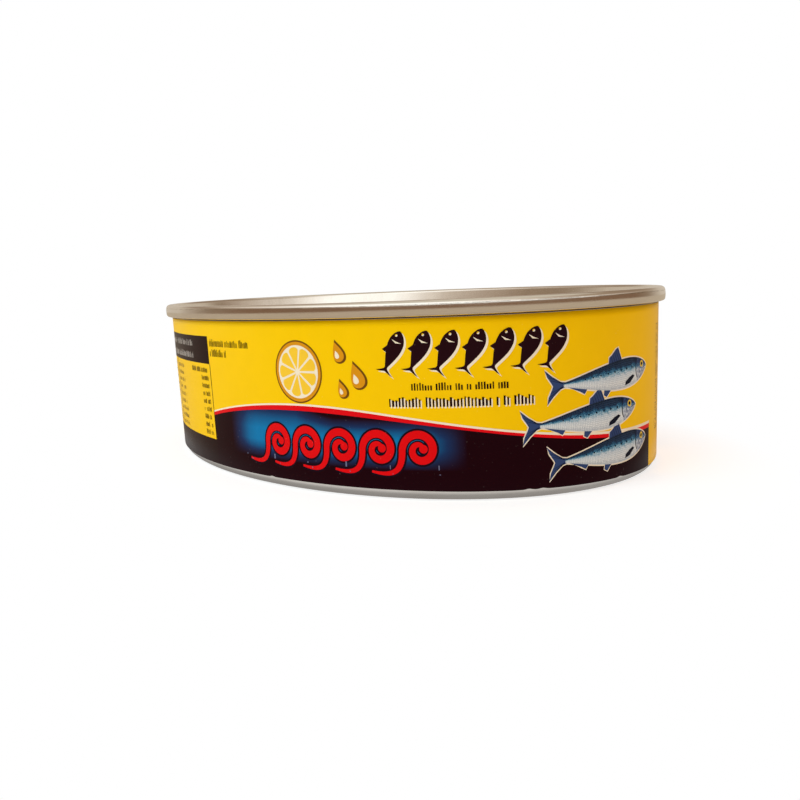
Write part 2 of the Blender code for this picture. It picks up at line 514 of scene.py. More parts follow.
def varnished_print_effect():
    """Offset print under varnish: uneven ink, a fine paper fibre and the varnish's patchy gloss."""
    group, given = new_tree("ShaderNodeTree", "varnished print",
                            {"Ink": (0.8, 0.5, 0.1, 1.0), "Bare": (0.9, 0.85, 0.75, 1.0),
                             "Mottle": 0.1, "Gloss": 0.3},
                            {"Colour": "Color", "Roughness": "Float", "Height": "Float"})
    space = result(group, "ShaderNodeTexCoord", output="Object")
    mottle = noise(space, 260.0, roughness=0.6)
    patches = noise(space, 28.0, 2.0)
    specks = ramp(noise(space, 2300.0, 1.0), (0.74, 0.0), (0.8, 1.0))
    fibres = noise(stretched(space, (1500.0, 1500.0, 5200.0)), 1.0, 2.0)
    tone = (mottle - 0.5) * given["Mottle"] + 1.0 + (patches - 0.5) * 0.05
    colour = mixed(specks * 0.06, toned(given["Ink"], tone), given["Bare"])
    add(group, "NodeGroupOutput", {"Colour": colour,
                                   "Roughness": given["Gloss"] + (patches - 0.5) * 0.16 + mottle * 0.06,
                                   "Height": fibres * 0.6 + mottle * 0.7})
    return group


def ink(name, colour, mottle=0.10):
    """One printed colour on the varnished paper, as it looks on a screen from 0 to 255."""
    values = {"Ink": (*linear(*colour), 1.0), "Mottle": mottle, "Gloss": 0.27}
    material, shader = finished_material(name, print_effect, values, 0.006)
    for label, value in (("Specular IOR Level", 0.03), ("Coat Weight", 0.015), ("Coat Roughness", 0.16)):
        shader.inputs[label].default_value = value
    return material


def wind_on(piece, lift, repeats, material):
    """Lay a flat piece on the wall at this lift in millimetres, as often round it as it repeats."""
    tree_on(piece, wall_tree, {"Length": TIN_LENGTH * MM, "Width": TIN_WIDTH * MM, "Inset": PAPER_INSET * MM,
                               "Taper": WALL_TAPER * MM, "Seam Foot": SEAM_FOOT * MM, "Lift": lift * MM,
                               "Slackness": SLACKNESS * MM, "Crease Place": CREASE_PLACE * MM,
                               "Crease": CREASE_RISE * MM, "Repeats": repeats, "Material": material})


wall_tree = wound_on_wall()
print_effect = varnished_print_effect()
strip_length = 2 * HALF_ROUND + LAP
lap_place = LAP_START + strip_length - LAP
columns = round(2 * strip_length)
strip_points = []
for column in range(columns + 1):
    along = LAP_START + strip_length * column / columns
    over = LAP_LIFT * eased(along, lap_place - LAP_EASE, lap_place)
    bottom = lower_edge(along)
    for row in range(STRIP_ROWS + 1):
        height = bottom + (PAPER_TOP - bottom) * row / STRIP_ROWS
        strip_points.append((along * MM, height * MM, over * MM))
ladder = STRIP_ROWS + 1
strip_faces = [(start, start + ladder, start + ladder + 1, start + 1)
               for column in range(columns) for start in range(column * ladder, column * ladder + STRIP_ROWS)]
label_strip = piece_of("label_strip", strip_points, strip_faces)
wind_on(label_strip, 0.0, 1, ink("yellow_print", YELLOW, mottle=0.06))
thickness = label_strip.modifiers.new("paper thickness", "SOLIDIFY")
thickness.thickness = PAPER_THICKNESS * MM
thickness.offset = -1.0
plain_mesh(label_strip)
finish_piece(label_strip, "printed_paper", "label")


# The dark sea and its stripes
# The printed front's lower field: a deep brown with a blue glow behind the ornament, under a
# swelling edge of a red and a cream stripe. It is printed twice, once on each long side.
FRONT_LEFT = 7.7
FRONT_RIGHT = 125.3
SWELL_CREST = 42.0
SWELL_TOP = 17.6
SWELL_LEFT_DROP = 3.65
SWELL_RIGHT_DROP = 7.3
SWELL_RIGHT_END = 118.5
RED_WIDTHS = [(FRONT_LEFT, 0.76), (48.0, 1.08), (82.0, 0.54), (FRONT_RIGHT, 0.84)]
CREAM_WIDTHS = [(FRONT_LEFT, 0.34), (48.0, 0.40), (82.0, 0.42), (FRONT_RIGHT, 0.58)]
SEA_BROWN = (31, 3, 10)
GLOW_PLACE = (47.4, 11.0)
GLOW_REACH = (31.0, 5.0)
GLOW_RISE = 1.6
GLOW_RISE_ENDS = (40.0, 50.0)
FIELD_LIFT = 0.014
STRIPE_LIFT = 0.028
MOTIF_LIFT = 0.045
LAYER = 0.015
FINE_CELL = 1.0
SNAP = 0.002


def swell(along):
    """Height of the red stripe's middle, which swells to a crest and runs out level."""
    if along < SWELL_CREST:
        share = (SWELL_CREST - along) / (SWELL_CREST - FRONT_LEFT)
        return SWELL_TOP - SWELL_LEFT_DROP * share * share
    return SWELL_TOP - SWELL_RIGHT_DROP * eased(along, SWELL_CREST, SWELL_RIGHT_END)


def width_at(widths, along):
    """A stripe's width here, eased from one given width to the next."""
    for (left, first), (right, last) in zip(widths, widths[1:]):
        if along <= right or right == widths[-1][0]:
            return first + (last - first) * eased(along, left, right)


def red_top(along):
    """Upper edge of the red stripe."""
    return swell(along) + width_at(RED_WIDTHS, along) / 2


def red_foot(along):
    """Lower edge of the red stripe."""
    return swell(along) - width_at(RED_WIDTHS, along) / 2


def cream_top(along):
    """Upper edge of the cream stripe."""
    return red_top(along) + width_at(CREAM_WIDTHS, along)


def across(first, last, step=1.0):
    """Places from first to last, evenly spaced and at most a step apart."""
    count = max(1, math.ceil(abs(last - first) / step))
    return [first + (last - first) * index / count for index in range(count + 1)]


def between(lower, upper, first, last):
    """The outline of the area between two curves of the place along the label."""
    places = across(first, last, FINE_CELL / 2)
    return [(s, lower(s)) for s in places] + [(s, upper(s)) for s in reversed(places)]


def finely(outline):
    """The outline with points added, so that no stretch is too long to bend with the wall."""
    points = []
    for (x, y), (next_x, next_y) in zip(outline, outline[1:] + outline[:1]):
        count = math.ceil(math.dist((x, y), (next_x, next_y)) / FINE_CELL)
        for part in range(count):
            points.append((x + (next_x - x) * part / count, y + (next_y - y) * part / count))
    return points


def counter_clockwise(outline):
    """The outline, turned round if it runs clockwise."""
    area = sum(a[0] * b[1] - b[0] * a[1] for a, b in zip(outline, outline[1:] + outline[:1]))
    return outline if area > 0 else outline[::-1]


def plain_chart(along, height):
    """A place on the label in units of a centimetre."""
    return along / 10, height / 10


def printed(name, material, lift, solids, holes=(), chart=plain_chart):
    """One ink's shapes as a thin piece on the paper, from outlines in millimetres of the label.

    The shapes are united, the holes taken out, and both cut on a grid so that they bend. The
    chart gives each place the coordinates that a pattern in the ink follows.
    """
    points, loops = [], []
    for outline in [*solids, *holes]:
        outline = counter_clockwise(finely(list(outline)))
        loops.append(list(range(len(points), len(points) + len(outline))))
        points += outline
    left, right = min(p[0] for p in points), max(p[0] for p in points)
    low, high = min(p[1] for p in points), max(p[1] for p in points)
    points += [(s, z) for s in across(left, right, FINE_CELL)[1:-1]
               for z in across(low, high, 2 * FINE_CELL)[1:-1]]
    corners = [Vector(p) for p in points]
    flat, _, triangles, _, _, sources = delaunay_2d_cdt(corners, [], loops, 0, SNAP)
    kept = [triangle for triangle, source in zip(triangles, sources)
            if source and max(source) < len(solids)]
    used = sorted({corner for triangle in kept for corner in triangle})
    place = {corner: index for index, corner in enumerate(used)}
    piece = piece_of(name, [(flat[corner].x * MM, flat[corner].y * MM, 0.0) for corner in used],
                     [tuple(place[corner] for corner in triangle) for triangle in kept])
    charted = [chart(*flat[corner]) for corner in used]
    spread = piece.data.uv_layers.new(name="Flat")
    for loop in piece.data.loops:
        spread.data[loop.index].uv = charted[loop.vertex_index]
    wind_on(piece, lift, 2, material)
    plain_mesh(piece)
    finish_piece(piece, "printed_paper")


def patterned(material, colour):
    """The ink, with its one colour replaced by a colour that changes over the print."""
    tree = material.node_tree
    tree.links.new(colour.source, tree.nodes["Finish"].inputs["Ink"])
    return material


def glowing_field_ink():
    """The deep brown field, with a blue glow behind the ornament that reaches higher on the left."""
    material = ink("sea_print", SEA_BROWN)
    tree = material.node_tree
    (middle, level), (reach, rise) = GLOW_PLACE, GLOW_REACH
    centred = result(tree, "ShaderNodeMapping",
                     {"Vector": result(tree, "ShaderNodeUVMap", uv_map="Flat"),
                      "Location": (-middle / reach, -level / rise, 0.0),
                      "Scale": (10 / reach, 10 / rise, 1.0)})
    off_side, above, _ = split_xyz(centred)
    rise_start, rise_end = ((end - middle) / reach / 2 + 0.5 for end in GLOW_RISE_ENDS)
    lower = ramp(off_side * 0.5 + 0.5, (rise_start, 1 / GLOW_RISE), (rise_end, 1.0))
    off_middle = calc("MAXIMUM", above * lower, above * -1.0)
    sideways = ramp(calc("ABSOLUTE", off_side),
                    (0.66, 1.0), (0.75, 0.85), (0.83, 0.5), (0.95, 0.1), (1.0, 0.0))
    upright = ramp(off_middle, (0.20, 1.0), (0.50, 0.62), (0.64, 0.40), (0.78, 0.22), (1.0, 0.0))
    glow = ramp(sideways * upright, (0.0, linear(*SEA_BROWN)), (0.10, linear(31, 24, 48)),
                (0.35, linear(26, 48, 88)), (0.60, linear(20, 82, 128)), (1.0, linear(14, 116, 168)))
    return patterned(material, glow)


red_ink = ink("red_print", (222, 10, 20))
cream_ink = ink("cream_print", (240, 226, 198))
for name, material, lift, lower, upper in (
        ("print_sea", glowing_field_ink(), FIELD_LIFT, lower_edge, red_foot),
        ("print_red_stripe", red_ink, STRIPE_LIFT, red_foot, red_top),
        ("print_cream_stripe", cream_ink, STRIPE_LIFT, red_top, cream_top)):
    printed(name, material, lift, [between(lower, upper, FRONT_LEFT, FRONT_RIGHT)])


# The side panels
# Between the two fronts the strip carries a dark header box over a framed yellow table, and a
# dark foot that runs on from the sea. Rows of fine upright marks fill the box and the table.
SIDE_LEFT = -58.0
SIDE_RIGHT = 7.4
HEADER_LOW, HEADER_HIGH = 25.5, 32.0
TABLE_LOW = 7.7
TABLE_LINES = (SIDE_RIGHT, SIDE_LEFT, -24.0)
LINE_WIDTH = 0.28
TABLE_ROWS = 9
TABLE_TOP_ROW = 23.4
HEADER_ROW = (-57.0, 29.4)
SIDE_NOTE, SIDE_NOTE_END = (8.6, 29.7), (8.6, 27.4)
EDGE_NOTE = (131.6, 31.0)
MARK_PITCH, WIDE_PITCH = 0.5, 0.52
ROW_PITCH = 1.86
FINE, FIRM = (0.13, 0.30), (0.16, 0.34)
SMALL, LEVEL, TALL, TALLER = (0.6, 1.1), (0.8, 1.2), (0.9, 1.6), (1.0, 1.8)


def box_outline(left, low, right, high):
    """A rectangle's outline."""
    return [(left, low), (right, low), (right, high), (left, high)]


def rows_of_marks():
    """A tree that sets rows of small printed marks of uneven width and height."""
    tree, given = new_tree("GeometryNodeTree", "rows of marks",
                           {"Geometry": "Geometry", "Start": "Vector", "Marks": 10, "Rows": 2,
                            "Pitch": 0.001, "Row Pitch": 0.002, "Narrowest": 0.0003, "Widest": 0.0009,
                            "Lowest": 0.0006, "Tallest": 0.0009, "Share Left Out": 0.0, "Seed": 1},
                           {"Geometry": "Geometry"})
    index = result(tree, "GeometryNodeInputIndex")
    points = result(tree, "GeometryNodeMeshLine", {"Count": given["Marks"] * given["Rows"],
                                                   "Offset": (0.0, 0.0, 0.0)}, mode="OFFSET")
    row = calc("FLOOR", (index + 0.5) / given["Marks"])
    column = index - row * given["Marks"]
    start_x, start_y, _ = split_xyz(given["Start"])
    tall = result(tree, "FunctionNodeRandomValue",
                  {2: given["Lowest"], 3: given["Tallest"], 7: index, 8: given["Seed"] + 11.0}, 1,
                  data_type="FLOAT")
    baseline = start_y - row * given["Row Pitch"]
    place = join_xyz(start_x + column * given["Pitch"], baseline + tall / 2.0, tall)
    set_out = result(tree, "GeometryNodeSetPosition", {"Geometry": points, "Position": place})
    dropped = result(tree, "FunctionNodeRandomValue", {6: given["Share Left Out"], 8: given["Seed"]}, 3,
                     data_type="BOOLEAN")
    kept = result(tree, "GeometryNodeDeleteGeometry", {"Geometry": set_out, "Selection": dropped})
    wide = result(tree, "FunctionNodeRandomValue",
                  {2: given["Narrowest"], 3: given["Widest"], 8: given["Seed"] + 7.0}, 1, data_type="FLOAT")
    mark = result(tree, "GeometryNodeMeshGrid",
                  {"Size X": 1.0, "Size Y": 1.0, "Vertices X": 3, "Vertices Y": 2})
    carried = split_xyz(result(tree, "GeometryNodeInputPosition"))[2]
    set_flat = result(tree, "GeometryNodeInstanceOnPoints",
                      {"Points": kept, "Instance": mark, "Scale": join_xyz(wide, carried, 1.0)})
    realized = result(tree, "GeometryNodeRealizeInstances", {"Geometry": set_flat})
    mark_x, mark_y, _ = split_xyz(result(tree, "GeometryNodeInputPosition"))
    whole = result(tree, "GeometryNodeSetPosition",
                   {"Geometry": realized, "Position": join_xyz(mark_x, mark_y, 0.0)})
    add(tree, "NodeGroupOutput", {"Geometry": whole})
    return tree


def marks(name, material, start, count, rows, pitch, row_pitch, widths, heights,
          left_out=0.0, seed=1, lift=MOTIF_LIFT):
    """Rows of printed marks on a baseline that starts at a place on the label, in millimetres."""
    piece = piece_of(name, [(0.0, 0.0, 0.0)])
    lengths = {"Pitch": pitch, "Row Pitch": row_pitch, "Narrowest": widths[0], "Widest": widths[1],
               "Lowest": heights[0], "Tallest": heights[1]}
    tree_on(piece, marks_tree, {"Start": (start[0] * MM, start[1] * MM, 0.0), "Marks": count, "Rows": rows,
                                "Share Left Out": left_out, "Seed": seed,
                                **{label: length * MM for label, length in lengths.items()}})
    wind_on(piece, lift, 2, material)
    plain_mesh(piece)
    finish_piece(piece, "printed_paper")


def table_column(name, material, left, count, rows, heights, left_out, seed, pitch=MARK_PITCH):
    """One column of marks in the table."""
    marks("print_table_" + name, material, (left, TABLE_TOP_ROW), count, rows, pitch, ROW_PITCH, FINE,
          heights, left_out, seed)


marks_tree = rows_of_marks()
brown_ink = ink("brown_print", (31, 7, 9))
pale_ink = ink("pale_print", (196, 186, 176))
faded_ink = ink("faded_print", (142, 112, 30))
printed("print_side_fields", brown_ink, FIELD_LIFT,
        [box_outline(SIDE_LEFT, HEADER_LOW, SIDE_RIGHT, HEADER_HIGH),
         between(lower_edge, lambda along: TABLE_LOW, SIDE_LEFT, FRONT_LEFT)])
printed("print_table_frame", brown_ink, STRIPE_LIFT,
        [box_outline(line, TABLE_LOW, line + LINE_WIDTH, HEADER_LOW) for line in TABLE_LINES])
marks("print_header_type", pale_ink, HEADER_ROW, 108, 2, MARK_PITCH, 2.9, FINE, TALL, 0.2, seed=3)
table_column("names", faded_ink, -55.5, 58, TABLE_ROWS, SMALL, 0.3, seed=5)
table_column("words", faded_ink, -22.6, 17, TABLE_ROWS, SMALL, 0.3, seed=7)
table_column("total", brown_ink, -5.2, 13, 1, TALL, 0.16, seed=8)
table_column("values", brown_ink, 1.8, 9, TABLE_ROWS, LEVEL, 0.2, seed=9, pitch=WIDE_PITCH)
marks("print_side_note", brown_ink, SIDE_NOTE, 34, 1, WIDE_PITCH, ROW_PITCH, FIRM, TALLER, 0.12, seed=12)
marks("print_side_note_end", brown_ink, SIDE_NOTE_END, 16, 1, WIDE_PITCH, ROW_PITCH, FIRM, TALLER, 0.06,
      seed=13)
marks("print_edge_note", faded_ink, EDGE_NOTE, 3, 46, 1.9, 0.5, (0.75, 1.25), FINE, 0.18, seed=14)


# The row of little fish
# The front's heading: a plain ornament of small dark fish that lean side by side, as they are
# packed in the tin, each with a cream edge to its lower right. Two broken rules run under it.
HEADING_LEFT, HEADING_RIGHT = 61.8, 98.4
HEADING_HIGH = 33.2
HEADING_MARGIN = 0.6
LITTLE_FISH = 7
LITTLE_LENGTH = 8.9
LITTLE_DEPTH = 3.2
LITTLE_LEAN = 64.0
LITTLE_EYE = (-1.05, 0.42, 0.27)
SHADOW_STEP = 0.38
UPPER_RULE = (68.1, 21.8)
LOWER_RULE = (63.4, 18.6)
RULE_SHADOW = 0.26
HEADING_LIFT = MOTIF_LIFT + LAYER


def fish_girth(share):
    """Half of a fish's depth, as a share of its greatest half, from snout 0 to tail root 1."""
    if share < 0.36:
        return math.sin(math.pi / 2 * (share / 0.36) ** 0.74) ** 0.92
    return 0.15 + 0.85 * math.cos(math.pi / 2 * (share - 0.36) / 0.64) ** 1.15


def scaled(points, length, depth):
    """Points given as shares of a fish's length, back from its snout, and of its depth."""
    return [(-length * share, depth * level) for share, level in points]


def fish_parts(length, depth):
    """Outlines of a fish's body and forked tail, with its snout at (0, 0) and its tail to the left."""
    root = 0.87
    shares = across(0.0, 1.0, 0.025)
    body = ([(root * share, 0.46 * fish_girth(share)) for share in shares]
            + [(root * share, -0.54 * fish_girth(share)) for share in reversed(shares)])
    upper = [(root - 0.02, 0.075), (0.895, 0.12), (0.945, 0.30), (1.0, 0.56), (0.985, 0.32), (0.958, 0.10)]
    tail = upper + [(0.948, 0.0)] + [(share, level * -1.06) for share, level in reversed(upper)]
    return scaled(body, length, depth), scaled(tail, length, depth)


def placed(outline, along, height, angle=0.0):
    """An outline turned by an angle in degrees and moved to its place on the label."""
    cosine, sine = math.cos(math.radians(angle)), math.sin(math.radians(angle))
    return [(along + x * cosine - y * sine, height + x * sine + y * cosine) for x, y in outline]


little_fin = scaled([(0.38, 0.40), (0.53, 0.66), (0.56, 0.26)], LITTLE_LENGTH, LITTLE_DEPTH)
little_gill = scaled([(0.235, 0.34), (0.285, 0.0), (0.235, -0.36), (0.245, 0.0)], LITTLE_LENGTH, LITTLE_DEPTH)
eye_x, eye_y, eye_radius = LITTLE_EYE
little_eye = [(eye_x + eye_radius * math.cos(turn), eye_y + eye_radius * math.sin(turn))
              for turn in across(0.0, 5.8, 0.45)]
first_nose = HEADING_LEFT + LITTLE_LENGTH * math.cos(math.radians(LITTLE_LEAN)) + HEADING_MARGIN
fish_step = (HEADING_RIGHT - first_nose - HEADING_MARGIN) / (LITTLE_FISH - 1)
noses = [first_nose + fish_step * number for number in range(LITTLE_FISH)]
heading = [placed(part, nose, HEADING_HIGH, LITTLE_LEAN)
           for nose in noses for part in (*fish_parts(LITTLE_LENGTH, LITTLE_DEPTH), little_fin)]
heading_gaps = [placed(part, nose, HEADING_HIGH, LITTLE_LEAN)
                for nose in noses for part in (little_gill, little_eye)]
printed("print_heading_edge", cream_ink, MOTIF_LIFT,
        [[(s + SHADOW_STEP, z - SHADOW_STEP) for s, z in outline] for outline in heading])
printed("print_heading_fish", ink("dark_heading_print", (36, 10, 16)), HEADING_LIFT, heading, heading_gaps)
marks("print_upper_rule", brown_ink, UPPER_RULE, 35, 1, 0.54, ROW_PITCH, (0.2, 0.34), (0.9, 1.55), 0.1,
      seed=21)
for part, material, drop, lift in (("edge", cream_ink, RULE_SHADOW, MOTIF_LIFT),
                                   ("type", brown_ink, 0.0, HEADING_LIFT)):
    marks("print_lower_rule_" + part, material, (LOWER_RULE[0] + drop, LOWER_RULE[1] - drop), 43, 1, 0.68,
          ROW_PITCH, (0.26, 0.44), (1.2, 2.0), 0.12, seed=23, lift=lift)


# The running scroll
# A red scroll border, the old wave pattern, with a dark edge, over the blue glow of the sea. The
# dark print round it is worn through in a few small scuffs.
SCROLLS = 5
SCROLL_LEFT = 30.6
SCROLL_PITCH = 8.7
SCROLL_CENTRE = 10.1
SCROLL_RADIUS = 3.7
SCROLL_FOOT = 5.6
SCROLL_EDGE = 0.40
SCROLL_TURN = 520.0
SCROLL_EYE = 0.86
FOOT_STEPS = 24
CURL_STEPS = 60
SCUFFS = 6
FIRST_SCUFF, FIRST_SPECK = (22.5, 6.2), (24.4, 5.2)
SCUFF_LIFT = MOTIF_LIFT + 2 * LAYER


def brush_stroke(path, widths):
    """The outline of a brush stroke along a path, given its half width at each point."""
    left, right = [], []
    for index, (x, y) in enumerate(path):
        before, after = path[max(index - 1, 0)], path[min(index + 1, len(path) - 1)]
        way = Vector((after[0] - before[0], after[1] - before[1])).normalized() * widths[index]
        left.append((x - way.y, y + way.x))
        right.append((x + way.y, y - way.x))
    return left + right[::-1]


def disc(along, height, radius, sides=36):
    """A round outline."""
    turns = [2 * math.pi * side / sides for side in range(sides)]
    return [(along + radius * math.cos(turn), height + radius * math.sin(turn)) for turn in turns]


def scroll_path(centre):
    """One wave of the scroll: in along the foot, up its back, over the crest and into its curl."""
    start = Vector((centre - SCROLL_RADIUS - 0.78 * SCROLL_PITCH, SCROLL_FOOT))
    rise = Vector((centre - SCROLL_RADIUS, SCROLL_CENTRE))
    bends = (start, start + Vector((4.6, -0.9)), rise - Vector((0.1, 4.6)), rise)
    path = []
    for step in range(FOOT_STEPS):
        t = step / FOOT_STEPS
        path.append(tuple(bends[0] * (1 - t) ** 3 + bends[1] * 3 * t * (1 - t) ** 2
                          + bends[2] * 3 * t * t * (1 - t) + bends[3] * t ** 3))
    for step in range(CURL_STEPS):
        share = step / (CURL_STEPS - 1)
        turn = math.radians(180 - SCROLL_TURN * share)
        radius = SCROLL_RADIUS * (1.0 - 0.80 * share ** 0.9)
        path.append((centre + radius * math.cos(turn), SCROLL_CENTRE + radius * math.sin(turn)))
    return path


def scroll_shapes(extra):
    """The outlines of the whole running scroll, each wider by the extra."""
    shapes = []
    for number in range(SCROLLS):
        path = scroll_path(SCROLL_LEFT + SCROLL_RADIUS + SCROLL_PITCH * number)
        last = len(path) - 1
        widths = [0.16 + 0.66 * math.sin(math.pi * min(1.0, 0.02 + 0.94 * index / last)) ** 0.8 + extra
                  for index in range(last + 1)]
        shapes += [brush_stroke(path, widths), disc(*path[-1], SCROLL_EYE + extra)]
    return shapes


printed("print_scroll_edge", ink("scroll_edge_print", (26, 10, 22)), MOTIF_LIFT, scroll_shapes(SCROLL_EDGE))
printed("print_scroll", ink("scroll_red_print", (222, 8, 14)), MOTIF_LIFT + LAYER, scroll_shapes(0.0))
scuff_ink = ink("scuffed_print", (104, 106, 132))
marks("print_scuffs", scuff_ink, FIRST_SCUFF, SCUFFS, 1, 10.05, ROW_PITCH, (0.18, 0.5), (0.3, 1.2), 0.0,
      seed=35, lift=SCUFF_LIFT)
marks("print_scuff_specks", scuff_ink, FIRST_SPECK, SCUFFS, 1, 9.7, ROW_PITCH, (0.12, 0.3), (0.12, 0.4), 0.3,
      seed=36, lift=SCUFF_LIFT)


# The lemon and the drops of oil
# Above the stripe's crest, a cut lemon and three drops, in amber and cream with a dark edge.
# Each colour is a layer of ink over the one below it.
LEMON = (41.6, 25.2)
LEMON_RADIUS = 6.2
PITH_RADIUS = LEMON_RADIUS - 0.7
WEDGES = 9
WEDGE_INNER, WEDGE_OUTER = 0.55, LEMON_RADIUS - 1.1
WEDGE_GAP = 0.055
WEDGE_STEPS = 8
DROPS = [((51.6, 31.4), 4.2), ((55.6, 27.2), 5.2), ((52.2, 23.6), 3.4)]
DROP_ANGLE = 108.0
DROP_STEPS = 32


def lemon_and_drops(radius, drops):
    """A round of the lemon, with drops of these tips and lengths."""
    shapes = [disc(*LEMON, radius, 64)]
    for tip, length in drops:
        turns = [2 * math.pi * step / DROP_STEPS for step in range(DROP_STEPS)]
        shapes.append(placed([(-length * (1 - math.cos(turn)) / 2,
                               0.42 * length * math.sin(turn) * math.sin(turn / 2) ** 1.4) for turn in turns],
                             *tip, DROP_ANGLE))
    return shapes


def wedge_outline(number):
    """One wedge of the cut lemon, with its corners drawn in."""
    middle = 2 * math.pi * (number + 0.5) / WEDGES
    half = math.pi / WEDGES - WEDGE_GAP
    outline = [(LEMON[0] + WEDGE_INNER * math.cos(middle), LEMON[1] + WEDGE_INNER * math.sin(middle))]
    for step in range(WEDGE_STEPS + 1):
        off_middle = 2 * step / WEDGE_STEPS - 1
        radius = WEDGE_OUTER * (1 - 0.10 * abs(off_middle) ** 3)
        turn = middle + half * off_middle
        outline.append((LEMON[0] + radius * math.cos(turn), LEMON[1] + radius * math.sin(turn)))
    return outline


edge_drops = [((s + 0.1, z + 0.45), length + 0.8) for (s, z), length in DROPS]
bright_drops = [((s + 0.2, z - length * 0.42), length * 0.4) for (s, z), length in DROPS]
printed("print_lemon_edge", ink("umber_print", (112, 70, 16)), MOTIF_LIFT,
        lemon_and_drops(LEMON_RADIUS + 0.3, edge_drops))
printed("print_lemon_rind", ink("amber_print", (214, 142, 20)), MOTIF_LIFT + LAYER,
        lemon_and_drops(LEMON_RADIUS, DROPS))
printed("print_lemon_pith", cream_ink, MOTIF_LIFT + 2 * LAYER, lemon_and_drops(PITH_RADIUS, bright_drops))
printed("print_lemon_wedges", ink("lemon_flesh_print", (244, 196, 52)), MOTIF_LIFT + 3 * LAYER,
        [wedge_outline(number) for number in range(WEDGES)])


# The three sardines
# On the right of the front three slim fish lie one above another, heads to the right: dark
# backs that break up into a blue side, silver bellies with fine scales, and ringed eyes.
SARDINE_LENGTH = 28.6
SARDINE_DEPTH = 5.9
SARDINES = [(122.4, 23.4, 4.0), (117.4, 15.9, 4.0), (122.6, 8.6, 4.0)]
BODY_SHARE = 0.87
EYE_PLACE = (0.095, 0.34)
PUPIL, GAP_RADIUS, EYE_RADIUS = 0.36, 0.38, 0.70
SPOTS = 8


def on_fish(share, level):
    """A point on a fish's side from its share of the body and its level from -1 to 1."""
    return (-BODY_SHARE * SARDINE_LENGTH * share, 0.5 * SARDINE_DEPTH * fish_girth(share) * level)


def on_each_fish(shapes):
    """The shapes, placed on every sardine."""
    return [placed(shape, *spot) for spot in SARDINES for shape in shapes]


def fish_chart(along, height):
    """A place on a sardine's side: its share from snout to tail root, and its level from -1 to 1."""
    found = (9.0, 0.0, 0.0)
    for nose, level, angle in SARDINES:
        x, y = placed([(along - nose, height - level)], 0.0, 0.0, -angle)[0]
        share = min(1.0, max(0.03, -x / (BODY_SHARE * SARDINE_LENGTH)))
        found = min(found, (abs(y), share, y / (0.5 * SARDINE_DEPTH * fish_girth(share))))
    return found[1:]


def grown(outline, by):
    """An outline moved out by a distance."""
    ordered = counter_clockwise(outline)
    moved = []
    for before, here, after in zip(ordered[-1:] + ordered[:-1], ordered, ordered[1:] + ordered[:1]):
        way = Vector((after[0] - before[0], after[1] - before[1]))
        if way.length > 1e-9:
            way.normalize()
            moved.append((here[0] + way.y * by, here[1] - way.x * by))
    return moved


def curved_line(places, curve, widths):
    """A drawn line on a fish's side, along a curve of (share, level) over its places."""
    return brush_stroke([on_fish(*curve(place)) for place in places], widths)


def sardine_side_ink():
    """The printed side of a sardine: a dark back, a broken blue band and a silver belly with scales."""
    material = ink("sardine_side_print", (200, 210, 214))
    chart = result(material.node_tree, "ShaderNodeUVMap", uv_map="Flat")
    share, level, _ = split_xyz(chart)
    patches = noise(stretched(chart, (30.0, 3.6, 1.0)), 1.0, 2.0)
    flecks = noise(stretched(chart, (120.0, 15.0, 1.0)), 1.0, 1.0)
    depth = (level * 0.5 + 0.5) + ((patches - 0.5) * 0.34 + (flecks - 0.5) * 0.34)
    side = ramp(depth, (0.0, linear(196, 204, 206)), (0.16, linear(228, 232, 228)),
                (0.44, linear(206, 218, 222)), (0.55, linear(112, 166, 188)), (0.64, linear(34, 96, 132)),
                (0.74, linear(20, 38, 66)), (1.0, linear(12, 16, 30)))
    cells = result(material.node_tree, "ShaderNodeTexVoronoi",
                   {"Vector": stretched(chart, (62.0, 7.5, 1.0)), "Scale": 1.0, "Randomness": 0.35},
                   feature="DISTANCE_TO_EDGE")
    scale_edges = ramp(cells, (0.03, 1.0), (0.14, 0.0)) * ramp(share, (0.20, 0.0), (0.23, 0.55))
    scaly = mixed(scale_edges, side, (*linear(70, 92, 116), 1.0))
    head = ramp(share, (0.165, 1.0), (0.20, 0.0)) * ramp(patches, (0.40, 0.25), (0.60, 0.75))
    return patterned(material, mixed(head, scaly, (*linear(58, 78, 122), 1.0)))


fish_body, fish_tail = fish_parts(SARDINE_LENGTH, SARDINE_DEPTH)
back_fin, belly_fin, vent_fin, side_fin = ([on_fish(*point) for point in outline] for outline in (
    [(0.40, 0.9), (0.44, 1.82), (0.47, 1.74), (0.52, 1.46), (0.55, 1.36), (0.56, 0.9)],
    [(0.53, -0.9), (0.60, -1.62), (0.63, -1.5), (0.62, -0.95)],
    [(0.78, -0.8), (0.82, -1.8), (0.86, -1.6), (0.97, -1.0)],
    [(0.225, -0.50), (0.30, -0.86), (0.37, -0.92), (0.36, -0.66), (0.30, -0.44), (0.25, -0.34)]))
outer_fins = [fish_tail, back_fin, belly_fin, vent_fin]
rays = [brush_stroke([on_fish(0.41 + 0.026 * ray, 0.9), on_fish(0.45 + 0.020 * ray, 1.74 - 0.09 * ray)],
                     [0.05, 0.03]) for ray in range(5)]
for side in (1, -1):
    for ray in range(3):
        root = (-0.875 * SARDINE_LENGTH, side * 0.05 * SARDINE_DEPTH)
        tip = (-(0.985 - 0.012 * ray) * SARDINE_LENGTH, side * (0.44 - 0.12 * ray) * SARDINE_DEPTH)
        rays.append(brush_stroke([root, tip], [0.05, 0.03]))
turns = across(-1.25, 1.15, 0.16)
gill = curved_line(turns, lambda turn: (0.200 - 0.034 * (1 - math.cos(turn)), 0.84 * math.sin(turn)),
                   [0.06 + 0.09 * math.cos(turn) for turn in turns])
cheek = curved_line(turns, lambda turn: (0.145 - 0.025 * (1 - math.cos(turn)), 0.62 * math.sin(turn)),
                    [0.05] * len(turns))
